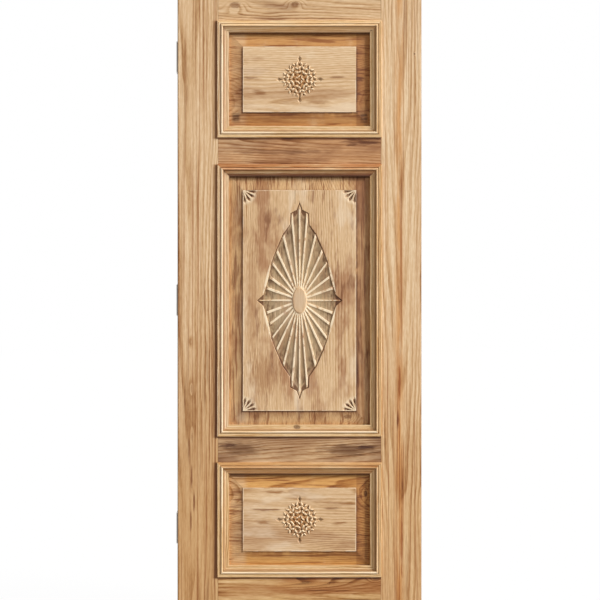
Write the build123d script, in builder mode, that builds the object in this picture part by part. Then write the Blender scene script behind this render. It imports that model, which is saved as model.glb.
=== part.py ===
from build123d import *
import os
from math import cos, radians, sin

os.makedirs("parts", exist_ok=True)

# Leaf, in millimetres: x across, y from front to back, z up from the bottom edge
leaf_width = 800
leaf_thickness = 45
stile_width = 133
bottom_rail_height = 144
lower_opening_height = 371
lower_mid_rail_height = 90
middle_opening_height = 887
upper_mid_rail_height = 93
upper_opening_height = 378
top_rail_height = 137
edge_round = 3

# Grooves, tenons and wedges
groove_depth = 14
tongue_length = 12
tongue_thickness = 10
tongue_recess = 17
tongue_clearance = 0.2
tenon_thickness = 14
tenon_shoulder = 20
tenon_haunch = 35
wedge_length = 70
wedge_thickness = 6

# Raised panels
field_recess = 5
bevel_width = 46
shoulder_height = 2.5
panel_back_rise = 6
panel_back_gap = 1

# Bolection moulding section, from its outer edge to its inner edge
moulding_width = 38
moulding_lap = 2.5
moulding_clearance = 0.2
band_rise = 6.5
band_round = 1.5
band_width = 10
quirk_width = 1.5
quirk_depth = 3
bead_width = 8
cove_rise = 5
cove_hollow_across = 3
cove_hollow_rise = 0.5
fillet_width = 7.5
fillet_drop = 1
fillet_step = 1

# Sunburst on the middle panel
sunburst_half_width = 138
sunburst_half_height = 321
boss_half_width = 24
boss_half_height = 45
boss_rise = 3
boss_top_share = 0.88
boss_sides = 32
rim_gap = 2
ridge_start_width = 3.2
ridge_end_width = 5
flute_start_depth = 1.6
flute_belly_depth = 4
flute_end_depth = 1.2
flute_belly_share = 0.72
flute_side_share = 0.7
flute_floor_share = 0.5
flute_wall_width = 2.2
flute_wall_share = 0.3
flute_overrun = 30
cut_overrun = 4
contour_depth = 2.8
contour_outer_width = 2.4
contour_inner_width = 5.5
side_cusp_share = (0.855, 0.056)
neck_foot_share = (0.222, 0.777)
neck_top_share = (0.212, 0.888)
top_cusp_share = (0.062, 0.923)
ray_end_shares = [
    (1, 0),
    (0.797, 0.131),
    (0.725, 0.240),
    (0.667, 0.386),
    (0.558, 0.511),
    (0.399, 0.670),
    (0.188, 0.850),
    (0, 1),
]
quarter_turn = 90

# Corner fans on the middle panel
fan_angles = [9, 33, 57, 81]
fan_distance = 26
fan_length = 42
fan_width = 12
fan_shoulder_share = 0.84

# Rosettes on the upper and lower panels: pointed finials and rings of leaning leaves
finial_count = 4
finial_distance = 66
finial_length = 28
finial_width = 15
rim_leaf_count = 20
rim_leaf_distance = 48
rim_leaf_length = 20
rim_leaf_width = 13
middle_leaf_count = 14
middle_leaf_distance = 33.5
middle_leaf_length = 19
middle_leaf_width = 13
inner_leaf_count = 8
inner_leaf_distance = 20
inner_leaf_length = 16
inner_leaf_width = 12.5
petal_count = 4
petal_distance = 8
petal_length = 12
petal_width = 10
leaf_lean = 32
chip_shoulder_share = 0.6
chip_floor_share = 0.2
chip_depth_share = 0.36

# Butt hinges
hinge_height = 100
hinge_plate_width = 30
hinge_plate_thickness = 3
hinge_gap = 2
hinge_seat_clearance = 0.2
barrel_radius = 6
barrel_stand_off = 7
barrel_clearance = 0.5
knuckle_count = 3
knuckle_gap = 0.3
pin_radius = 3
pin_clearance = 0.05
pin_head_radius = 4.6
pin_head_height = 3
lower_hinge_level = 300
upper_hinge_drop = 250
screw_row_spacing = 14
frame_screw_spacing = 70
door_screw_spacing = 46
screw_hole_radius = 2.5
sink_sides = 8
sink_radius = 4.8
sink_ledge = 0.3
sink_depth = 1.8

# Levels and spans worked out from the sizes above
half_width = leaf_width / 2
half_thickness = leaf_thickness / 2
opening_width = leaf_width - 2 * stile_width
lower_opening = (bottom_rail_height, bottom_rail_height + lower_opening_height)
lower_mid_rail_span = (lower_opening[1], lower_opening[1] + lower_mid_rail_height)
middle_opening = (lower_mid_rail_span[1], lower_mid_rail_span[1] + middle_opening_height)
upper_mid_rail_span = (middle_opening[1], middle_opening[1] + upper_mid_rail_height)
upper_opening = (upper_mid_rail_span[1], upper_mid_rail_span[1] + upper_opening_height)
leaf_height = upper_opening[1] + top_rail_height
openings = [lower_opening, middle_opening, upper_opening]

tenon_spans = [
    (tenon_haunch, lower_opening[0] - tenon_shoulder),
    (lower_mid_rail_span[0] + tenon_shoulder, lower_mid_rail_span[1] - tenon_shoulder),
    (upper_mid_rail_span[0] + tenon_shoulder, upper_mid_rail_span[1] - tenon_shoulder),
    (upper_opening[1] + tenon_shoulder, leaf_height - tenon_haunch),
]
tenon_plane = Plane.XZ.offset(-tenon_thickness / 2)

field_level = half_thickness - field_recess
bevel_top = field_level - shoulder_height
tongue_front = half_thickness - tongue_recess
tongue_back = tongue_front - tongue_thickness
panel_back = tongue_back - panel_back_rise
groove_width = tongue_thickness + 2 * tongue_clearance
groove_plane = Plane.XZ.offset(tongue_back - tongue_clearance)
moulding_reach = moulding_width - moulding_lap
field_margin = moulding_reach + bevel_width

hinge_levels = {
    "lower": lower_hinge_level,
    "middle": leaf_height / 2,
    "upper": leaf_height - upper_hinge_drop,
}
hinge_axis_x = -half_width - hinge_gap / 2
hinge_axis_y = half_thickness + barrel_stand_off
plate_back = hinge_axis_y - barrel_radius - barrel_clearance
plate_front = plate_back - hinge_plate_width
plate_middle = (plate_back + plate_front) / 2
knuckle_pitch = hinge_height / knuckle_count


def wedge_outlines(side):
    """Outlines of the wedges above and below each tenon on one edge of the leaf."""
    outer = side * half_width
    inner = side * (half_width - wedge_length)
    outlines = []
    for low, high in tenon_spans:
        outlines.append([(outer, high), (outer, high + wedge_thickness), (inner, high)])
        outlines.append([(outer, low), (outer, low - wedge_thickness), (inner, low)])
    return outlines


def door_face(level):
    """Face of a hinge's door plate, flush with the leaf's edge."""
    return Plane(origin=(-half_width, plate_middle, level), x_dir=(0, 1, 0), z_dir=(-1, 0, 0))


def frame_face(level):
    """Face of a hinge's frame plate, towards the leaf."""
    return Plane(
        origin=(-half_width - hinge_gap, plate_middle, level), x_dir=(0, 1, 0), z_dir=(1, 0, 0)
    )


def stile(side):
    """Upright of the leaf, grooved and mortised, without hinge seats."""
    with BuildPart() as upright:
        with BuildSketch(Plane.XY) as section:
            with Locations((side * (half_width - stile_width / 2), 0)):
                Rectangle(stile_width, leaf_thickness)
            outer_corners = section.vertices().sort_by(Axis.X)
            fillet(outer_corners[:2] if side < 0 else outer_corners[-2:], radius=edge_round)
        extrude(amount=leaf_height)
        with BuildSketch(groove_plane):
            for low, high in openings:
                with Locations((0, (low + high) / 2)):
                    Rectangle(opening_width + 2 * groove_depth, high - low + 2 * groove_depth)
        extrude(amount=groove_width, mode=Mode.SUBTRACT)
        with BuildSketch(tenon_plane):
            for low, high in tenon_spans:
                with Locations((0, (low + high) / 2)):
                    Rectangle(leaf_width, high - low)
            for outline in wedge_outlines(side):
                Polygon(*outline, align=None)
        extrude(amount=tenon_thickness, mode=Mode.SUBTRACT)
    return upright.part


def rail(span, tenon_span):
    """Cross piece of the leaf with a through tenon at each end and grooved edges."""
    with BuildPart() as cross_piece:
        with BuildSketch(Plane.XZ.offset(-half_thickness)):
            with Locations((0, (span[0] + span[1]) / 2)):
                Rectangle(opening_width, span[1] - span[0])
        extrude(amount=leaf_thickness)
        with BuildSketch(tenon_plane):
            with Locations((0, (tenon_span[0] + tenon_span[1]) / 2)):
                Rectangle(leaf_width, tenon_span[1] - tenon_span[0])
        extrude(amount=tenon_thickness)
        with BuildSketch(groove_plane):
            for low, high in openings:
                with Locations((0, (low + high) / 2)):
                    Rectangle(opening_width + 2 * groove_depth, high - low + 2 * groove_depth)
        extrude(amount=groove_width, mode=Mode.SUBTRACT)
    return cross_piece.part


def flat_sided(*outlines):
    """Solid with flat sides that join a row of outlines, one after another."""
    count = len(outlines[0])
    polygons = [outlines[0], outlines[-1]]
    for near, far in zip(outlines, outlines[1:]):
        for i in range(count):
            j = (i + 1) % count
            polygons.append([near[i], near[j], far[j], far[i]])
    return Solid(Shell([Face(Wire.make_polygon(polygon)) for polygon in polygons]))


def three_sided(*outlines):
    """Solid that joins a row of outlines of different forms by triangles."""
    count = len(outlines[0])
    polygons = [outlines[0], outlines[-1]]
    for near, far in zip(outlines, outlines[1:]):
        for i in range(count):
            j = (i + 1) % count
            polygons.append([near[i], near[j], far[j]])
            polygons.append([near[i], far[j], far[i]])
    return Solid(Shell([Face(Wire.make_polygon(polygon)) for polygon in polygons]))


def bevelled_block(centre, foot, top):
    """Block with four bevels between a foot and a top, each a level towards the front and a size."""
    outlines = []
    for level, (width, height) in (foot, top):
        outlines.append(
            [
                (centre[0] + across * width / 2, -level, centre[1] + up * height / 2)
                for across, up in ((-1, -1), (1, -1), (1, 1), (-1, 1))
            ]
        )
    return flat_sided(*outlines)


def raised_panel(opening):
    """Panel with a tongue all round, a raised and bevelled front field and a plainer back."""
    height = opening[1] - opening[0]
    centre = (0, (opening[0] + opening[1]) / 2)
    field_size = (opening_width - 2 * field_margin, height - 2 * field_margin)
    with BuildPart() as panel:
        with BuildSketch(Plane.XZ.offset(tongue_back)):
            with Locations(centre):
                Rectangle(opening_width + 2 * tongue_length, height + 2 * tongue_length)
        extrude(amount=tongue_thickness)
        bevel_foot = (opening_width - 2 * moulding_reach, height - 2 * moulding_reach)
        add(bevelled_block(centre, (tongue_front, bevel_foot), (bevel_top, field_size)))
        with BuildSketch(Plane.XZ.offset(bevel_top)):
            with Locations(centre):
                Rectangle(*field_size)
        extrude(amount=shoulder_height)
        back_foot = (opening_width - 2 * panel_back_gap, height - 2 * panel_back_gap)
        add(bevelled_block(centre, (tongue_back, back_foot), (panel_back, field_size)))
    return panel.part


def hollow_section(width, depth):
    """Section of a hollow across its run: upright above the field, steep walls and a nearly flat floor."""
    wall = min(flute_wall_width, width * flute_wall_share)
    half_floor = (width / 2 - wall) * flute_floor_share
    right_side = [
        (half_floor, -depth),
        (width / 2 - wall, -depth * flute_side_share),
        (width / 2, 0),
        (width / 2, cut_overrun),
    ]
    return [(-x, y) for x, y in reversed(right_side)] + right_side


def flute(centre_height, start, end, widths):
    """Hollow along the field between two places, each an x and a height over the centre."""
    run = (end[0] - start[0], end[1] - start[1])
    stations = [(0, flute_start_depth), (flute_belly_share, flute_belly_depth), (1, flute_end_depth)]
    sections = []
    for share, depth in stations:
        place = (start[0] + run[0] * share, -field_level, centre_height + start[1] + run[1] * share)
        section_plane = Plane(origin=place, x_dir=(-run[1], 0, run[0]), z_dir=(run[0], 0, run[1]))
        width = widths[0] + (widths[1] - widths[0]) * share
        outline = hollow_section(width, depth)
        sections.append([section_plane.from_local_coords((x, y, 0)) for x, y in outline])
    return three_sided(*sections)


def ray_point(share):
    """Point of the sunburst given by shares of its half width and half height."""
    return (share[0] * sunburst_half_width, share[1] * sunburst_half_height)


def sunburst_flutes(centre_height):
    """Hollows between the rays of the sunburst, in all four quarters."""
    count = len(ray_end_shares)
    rim_half_width = boss_half_width + rim_gap
    rim_half_height = boss_half_height + rim_gap
    turns = [radians(quarter_turn * i / (count - 1)) for i in range(count)]
    starts = [(rim_half_width * cos(turn), rim_half_height * sin(turn)) for turn in turns]
    ends = [ray_point(share) for share in ray_end_shares]
    hollows = []
    for i in range(count - 1):
        start = ((starts[i][0] + starts[i + 1][0]) / 2, (starts[i][1] + starts[i + 1][1]) / 2)
        end = ((ends[i][0] + ends[i + 1][0]) / 2, (ends[i][1] + ends[i + 1][1]) / 2)
        run = (end[0] - start[0], end[1] - start[1])
        length = (run[0] ** 2 + run[1] ** 2) ** 0.5
        spreads = []
        for points in (starts, ends):
            step = (points[i + 1][0] - points[i][0], points[i + 1][1] - points[i][1])
            spreads.append(abs(step[0] * run[1] - step[1] * run[0]) / length)
        growth = (length + flute_overrun) / length
        far = (start[0] + run[0] * growth, start[1] + run[1] * growth)
        near_width = spreads[0] - ridge_start_width
        far_width = near_width + (spreads[1] - ridge_end_width - near_width) * growth
        for side in (-1, 1):
            for rise in (-1, 1):
                hollows.append(
                    flute(
                        centre_height,
                        (side * start[0], rise * start[1]),
                        (side * far[0], rise * far[1]),
                        (near_width, far_width),
                    )
                )
    return hollows


def contour_points():
    """Outline of the sunburst, all the way round from its right tip, with two runs along each cusp."""
    quarter = [(1, 0), side_cusp_share] + ray_end_shares[1:-2]
    quarter += [neck_foot_share, neck_top_share, top_cusp_share]
    points = [ray_point(share) for share in quarter]
    top = ray_point((0, 1))
    points += [top] + [(-x, z) for x, z in reversed(points[1:])]
    return points + [(-x, -z) for x, z in points]


def contour_cuts(centre_height):
    """Groove round the sunburst, steep on its outside, mitred where it turns."""
    points = contour_points()
    count = len(points)
    normals = []
    for i in range(count):
        run = (points[(i + 1) % count][0] - points[i][0], points[(i + 1) % count][1] - points[i][1])
        length = (run[0] ** 2 + run[1] ** 2) ** 0.5
        normals.append((run[1] / length, -run[0] / length))
    growth = 1 + cut_overrun / contour_depth
    sections = []
    for i in range(count):
        before = normals[i - 1]
        after = normals[i]
        stretch = 1 + before[0] * after[0] + before[1] * after[1]
        mitre = ((before[0] + after[0]) / stretch, (before[1] + after[1]) / stretch)
        section = []
        for offset, level in (
            (contour_outer_width * growth, field_level + cut_overrun),
            (0, field_level - contour_depth),
            (-contour_inner_width * growth, field_level + cut_overrun),
        ):
            x = points[i][0] + mitre[0] * offset
            z = points[i][1] + mitre[1] * offset
            section.append((x, -level, centre_height + z))
        sections.append(section)
    return [flat_sided(sections[i], sections[(i + 1) % count]) for i in range(count)]


def oval_boss(centre_height):
    """Oval boss in the middle of the sunburst, with a sloping edge."""
    turns = [radians(4 * quarter_turn * i / boss_sides) for i in range(boss_sides)]
    outlines = []
    for level, share in ((field_level, 1), (field_level + boss_rise, boss_top_share)):
        across = boss_half_width * share
        up = boss_half_height * share
        outlines.append([(across * cos(turn), -level, centre_height + up * sin(turn)) for turn in turns])
    return flat_sided(*outlines)


def carved_chip(length, width, shoulder_share):
    """Kite-shaped chip, pointing along x, that narrows to a small floor."""
    outlines = []
    for level, share in ((0, 1), (-width * chip_depth_share, chip_floor_share)):
        tail = -length / 2 * share
        shoulder = tail + length * share * shoulder_share
        side = width / 2 * share
        kite = [(tail, 0), (shoulder, -side), (-tail, 0), (shoulder, side)]
        outlines.append([(x, y, level) for x, y in kite])
    return flat_sided(*outlines)


def carved_fans(panel, opening):
    """Panel with a fan of long chips cut into each corner of its field."""
    middle = (opening[0] + opening[1]) / 2
    corner_x = opening_width / 2 - field_margin
    corner_z = (opening[1] - opening[0]) / 2 - field_margin
    chip = carved_chip(fan_length, fan_width, fan_shoulder_share)
    with BuildPart() as carved:
        add(panel)
        for i, (side, rise) in enumerate(((1, 1), (-1, 1), (-1, -1), (1, -1))):
            corner = (side * corner_x, -field_level, middle + rise * corner_z)
            inward = quarter_turn * (i + 2)
            corner_plane = Plane(origin=corner, x_dir=(1, 0, 0), z_dir=(0, -1, 0))
            with Locations(corner_plane):
                for angle in fan_angles:
                    with PolarLocations(fan_distance, 1, start_angle=inward + angle):
                        add(chip, mode=Mode.SUBTRACT)
    return carved.part


def carved_rosette(panel, opening):
    """Panel with a rosette of chips cut into its field, the leaves of each ring leaning to and fro."""
    centre = (0, -field_level, (opening[0] + opening[1]) / 2)
    field_plane = Plane(origin=centre, x_dir=(1, 0, 0), z_dir=(0, -1, 0))
    rings = [
        (finial_distance, finial_count, 0, finial_length, finial_width),
        (rim_leaf_distance, rim_leaf_count, leaf_lean, rim_leaf_length, rim_leaf_width),
        (middle_leaf_distance, middle_leaf_count, -leaf_lean, middle_leaf_length, middle_leaf_width),
        (inner_leaf_distance, inner_leaf_count, leaf_lean, inner_leaf_length, inner_leaf_width),
        (petal_distance, petal_count, 0, petal_length, petal_width),
    ]
    with BuildPart() as carved:
        add(panel)
        for distance, count, lean, length, width in rings:
            chip = carved_chip(length, width, chip_shoulder_share)
            for i in range(count):
                turn = 4 * quarter_turn * i / count
                leaning = chip.rotate(Axis.Z, lean if i % 2 else -lean)
                with Locations(field_plane):
                    with PolarLocations(distance, 1, start_angle=turn):
                        add(leaning, mode=Mode.SUBTRACT)
    return carved.part


def moulding_strip(edge_plane, opening_length):
    """Bolection strip along one edge of an opening, mitred at both ends."""
    half_run = opening_length / 2 + moulding_lap
    bead_start = band_width + quirk_width
    bead_end = bead_start + bead_width
    cove_start = bead_end + quirk_width
    fillet_start = moulding_width - fillet_width
    quirk_floor = band_rise - quirk_depth
    cove_foot = -fillet_drop
    fillet_level = cove_foot - fillet_step
    underside = moulding_clearance - tongue_recess
    with BuildPart() as strip:
        with BuildSketch(edge_plane):
            with BuildLine():
                Polyline((moulding_lap, 0), (0, 0), (0, band_rise - band_round))
                Polyline((0, band_rise - band_round), (band_round, band_rise), (band_width, band_rise))
                Polyline(
                    (band_width, band_rise),
                    (band_width + quirk_width / 2, quirk_floor),
                    (bead_start, band_rise),
                )
                ThreePointArc(
                    (bead_start, band_rise),
                    (bead_start + bead_width / 2, band_rise + bead_width / 2),
                    (bead_end, band_rise),
                )
                Polyline(
                    (bead_end, band_rise),
                    (bead_end + quirk_width / 2, quirk_floor),
                    (cove_start, cove_rise),
                )
                ThreePointArc(
                    (cove_start, cove_rise),
                    (cove_start + cove_hollow_across, cove_hollow_rise),
                    (fillet_start, cove_foot),
                )
                Polyline(
                    (fillet_start, cove_foot),
                    (fillet_start, fillet_level),
                    (moulding_width, fillet_level),
                    (moulding_width, underside),
                    (moulding_lap, underside),
                    (moulding_lap, 0),
                )
            make_face()
        extrude(amount=half_run, both=True)
        for end in (-1, 1):
            corner = edge_plane.from_local_coords((0, 0, end * half_run))
            split(
                bisect_by=Plane(origin=corner, z_dir=edge_plane.x_dir + edge_plane.z_dir * end),
                keep=Keep.BOTTOM,
            )
    return strip.part


def hinge_plate(face, away, level, first_knuckle):
    """Hinge plate with every second knuckle, countersunk holes still to come."""
    thickness = away * hinge_plate_thickness
    low = level - hinge_height / 2
    with BuildPart() as plate:
        with BuildSketch(Plane.XY.offset(low)):
            with Locations((face + thickness / 2, plate_middle)):
                Rectangle(hinge_plate_thickness, hinge_plate_width)
        extrude(amount=hinge_height)
        for i in range(first_knuckle, knuckle_count, 2):
            lower_gap = knuckle_gap if i > 0 else 0
            upper_gap = knuckle_gap if i < knuckle_count - 1 else 0
            with BuildSketch(Plane.XY.offset(low + i * knuckle_pitch + lower_gap)):
                with Locations((face + thickness / 2, (plate_middle + hinge_axis_y) / 2)):
                    Rectangle(hinge_plate_thickness, hinge_axis_y - plate_middle)
                with Locations((hinge_axis_x, hinge_axis_y)):
                    Circle(barrel_radius)
                    Circle(pin_radius + pin_clearance, mode=Mode.SUBTRACT)
            extrude(amount=knuckle_pitch - lower_gap - upper_gap)
    return plate.part


def round_taper(top_radius, floor_radius, depth):
    """Countersink shape, wide at the top and narrower below."""
    turns = [radians(4 * quarter_turn * i / sink_sides) for i in range(sink_sides)]
    outlines = []
    for level, radius in ((0, top_radius), (-depth, floor_radius)):
        outlines.append([(radius * cos(turn), radius * sin(turn), level) for turn in turns])
    return flat_sided(*outlines)


# Stiles
with BuildPart() as hinge_stile:
    add(stile(-1))
    for level in hinge_levels.values():
        seat_front = plate_front - hinge_seat_clearance
        with BuildSketch(Plane.XY.offset(level - hinge_height / 2 - hinge_seat_clearance)):
            with Locations((-half_width + hinge_plate_thickness / 2, (seat_front + plate_back) / 2)):
                Rectangle(hinge_plate_thickness, plate_back - seat_front)
        extrude(amount=hinge_height + 2 * hinge_seat_clearance, mode=Mode.SUBTRACT)
hinge_stile.part.label = "hinge_stile"
export_step(hinge_stile.part, "parts/hinge_stile.step")

lock_stile = stile(1)
lock_stile.label = "lock_stile"
export_step(lock_stile, "parts/lock_stile.step")

# Rails
rail_spans = {
    "bottom_rail": (0, lower_opening[0]),
    "lower_mid_rail": lower_mid_rail_span,
    "upper_mid_rail": upper_mid_rail_span,
    "top_rail": (upper_opening[1], leaf_height),
}
for (label, span), tenon_span in zip(rail_spans.items(), tenon_spans):
    cross_rail = rail(span, tenon_span)
    cross_rail.label = label
    export_step(cross_rail, f"parts/{label}.step")

# Wedges
with BuildPart() as tenon_wedges:
    with BuildSketch(tenon_plane):
        for outline in wedge_outlines(-1) + wedge_outlines(1):
            Polygon(*outline, align=None)
    extrude(amount=tenon_thickness)
tenon_wedges.part.label = "tenon_wedges"
export_step(tenon_wedges.part, "parts/tenon_wedges.step")

# Upper and lower panels with rosettes
for label, opening in {"upper_panel": upper_opening, "lower_panel": lower_opening}.items():
    rosette_panel = carved_rosette(raised_panel(opening), opening)
    rosette_panel.label = label
    export_step(rosette_panel, f"parts/{label}.step")

# Middle panel with sunburst and corner fans
middle_height = (middle_opening[0] + middle_opening[1]) / 2
middle_field = Plane(origin=(0, -field_level, middle_height), x_dir=(1, 0, 0), z_dir=(0, -1, 0))
with BuildPart() as sunburst:
    add(sunburst_flutes(middle_height))
    with BuildSketch(middle_field.offset(cut_overrun)):
        Polygon(*contour_points(), align=None)
    extrude(amount=-cut_overrun - field_level, mode=Mode.INTERSECT)

with BuildPart() as middle_panel:
    add(carved_fans(raised_panel(middle_opening), middle_opening))
    add(sunburst.part, mode=Mode.SUBTRACT)
    add(contour_cuts(middle_height), mode=Mode.SUBTRACT)
    add(oval_boss(middle_height))
middle_panel.part.label = "middle_panel"
export_step(middle_panel.part, "parts/middle_panel.step")

# Moulding strips
for place, opening in {"upper": upper_opening, "middle": middle_opening, "lower": lower_opening}.items():
    height = opening[1] - opening[0]
    middle = (opening[0] + opening[1]) / 2
    outer_x = opening_width / 2 + moulding_lap
    edges = {
        "left": ((-outer_x, middle), (1, 0, 0), (0, 0, -1), height),
        "right": ((outer_x, middle), (-1, 0, 0), (0, 0, 1), height),
        "top": ((0, opening[1] + moulding_lap), (0, 0, -1), (-1, 0, 0), opening_width),
        "bottom": ((0, opening[0] - moulding_lap), (0, 0, 1), (1, 0, 0), opening_width),
    }
    for edge, (point, inward, along, opening_length) in edges.items():
        edge_plane = Plane(origin=(point[0], -half_thickness, point[1]), x_dir=inward, z_dir=along)
        strip = moulding_strip(edge_plane, opening_length)
        strip.label = f"{place}_moulding_{edge}"
        export_step(strip, f"parts/{place}_moulding_{edge}.step")

# Hinges
sink = round_taper(sink_radius, screw_hole_radius + sink_ledge, sink_depth)
for place, level in hinge_levels.items():
    with BuildPart() as frame_plate:
        add(hinge_plate(-half_width - hinge_gap, -1, level, 0))
        with Locations(frame_face(level)):
            with GridLocations(screw_row_spacing, frame_screw_spacing, 2, 2):
                Cylinder(screw_hole_radius, 2 * hinge_plate_thickness, mode=Mode.SUBTRACT)
                add(sink, mode=Mode.SUBTRACT)
    frame_plate.part.label = f"{place}_hinge_frame_plate"
    export_step(frame_plate.part, f"parts/{place}_hinge_frame_plate.step")

    with BuildPart() as door_plate:
        add(hinge_plate(-half_width, 1, level, 1))
        with BuildSketch(door_face(level)):
            with GridLocations(screw_row_spacing, door_screw_spacing, 2, 2):
                RegularPolygon(screw_hole_radius, sink_sides)
        extrude(amount=-hinge_plate_thickness, mode=Mode.SUBTRACT)
        with Locations(door_face(level)):
            with GridLocations(screw_row_spacing, door_screw_spacing, 2, 2):
                add(sink, mode=Mode.SUBTRACT)
    door_plate.part.label = f"{place}_hinge_door_plate"
    export_step(door_plate.part, f"parts/{place}_hinge_door_plate.step")

    with BuildPart() as pin:
        with BuildSketch(Plane.XY.offset(level - hinge_height / 2)):
            with Locations((hinge_axis_x, hinge_axis_y)):
                Circle(pin_radius)
        extrude(amount=hinge_height)
        for end in (-1, 1):
            with BuildSketch(Plane.XY.offset(level + end * hinge_height / 2)):
                with Locations((hinge_axis_x, hinge_axis_y)):
                    RegularPolygon(pin_head_radius, sink_sides)
            extrude(amount=end * pin_head_height)
    pin.part.label = f"{place}_hinge_pin"
    export_step(pin.part, f"parts/{place}_hinge_pin.step")
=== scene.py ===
"""Dresses the carved pine door leaf in oiled pine and steel, under plain studio light."""

from __future__ import annotations

import logging
import math
from abc import ABC, abstractmethod
from dataclasses import dataclass, field
from enum import Enum
from functools import reduce

import bpy
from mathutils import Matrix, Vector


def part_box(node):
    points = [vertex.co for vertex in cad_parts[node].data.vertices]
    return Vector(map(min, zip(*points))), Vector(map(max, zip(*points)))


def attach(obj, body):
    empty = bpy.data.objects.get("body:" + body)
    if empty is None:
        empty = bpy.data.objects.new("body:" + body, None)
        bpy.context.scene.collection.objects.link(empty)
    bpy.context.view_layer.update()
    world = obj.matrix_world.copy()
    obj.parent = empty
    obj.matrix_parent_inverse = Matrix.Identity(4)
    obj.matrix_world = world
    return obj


logging.basicConfig(level=logging.INFO, format="%(name)s: %(message)s")
log = logging.getLogger("carved_door")

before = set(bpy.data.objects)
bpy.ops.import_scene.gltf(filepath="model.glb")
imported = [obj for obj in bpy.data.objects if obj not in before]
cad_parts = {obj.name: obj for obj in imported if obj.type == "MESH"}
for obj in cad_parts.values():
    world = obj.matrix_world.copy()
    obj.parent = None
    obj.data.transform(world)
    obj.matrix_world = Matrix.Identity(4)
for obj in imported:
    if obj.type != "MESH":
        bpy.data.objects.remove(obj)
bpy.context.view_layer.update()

Triple = tuple[float, float, float]
Colour = Triple
Ramp = tuple[float, float]
Socket = bpy.types.NodeSocket
Value = Socket | float
Paint = Socket | Colour

# Places of the two colours and of the result among the sockets of a mix node.
MIX_COLOURS = (6, 7)
MIX_RESULT = 2


class Axis(Enum):
    """Axes of the leaf: across, through and up."""

    X = 0
    Y = 1
    Z = 2


class Grain(Enum):
    """Which way the fibres of a board run."""

    UPRIGHT = "upright"
    LEVEL = "level"

    def scales(self, cross: float, through: float, run: float) -> Triple:
        """Scales on X, Y and Z of a noise that is drawn out along this grain."""
        return (cross, through, run) if self is Grain.UPRIGHT else (run, through, cross)


X, Y, Z = Axis
UPRIGHT, LEVEL = Grain


class Side(Enum):
    """Edges of a panel opening."""

    LEFT = "left"
    RIGHT = "right"
    TOP = "top"
    BOTTOM = "bottom"


class Outline(Enum):
    """Forms of the carved places."""

    LENS = "lens"
    OVAL = "oval"


class Blend(Enum):
    """How a mark lies over the pine."""

    MIX = "MIX"
    STAIN = "MULTIPLY"


def srgb(*parts: int) -> Colour:
    """Linear colour of a display colour, whose parts go from 0 to 255."""
    shares = (part / 255 for part in parts)
    return tuple(share / 12.92 if share <= 0.04045 else ((share + 0.055) / 1.055) ** 2.4 for share in shares)


def apply_place() -> None:
    """Fixes the place, turn and size of the selected piece in its mesh."""
    bpy.ops.object.transform_apply(location=True, rotation=True, scale=True)


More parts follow.
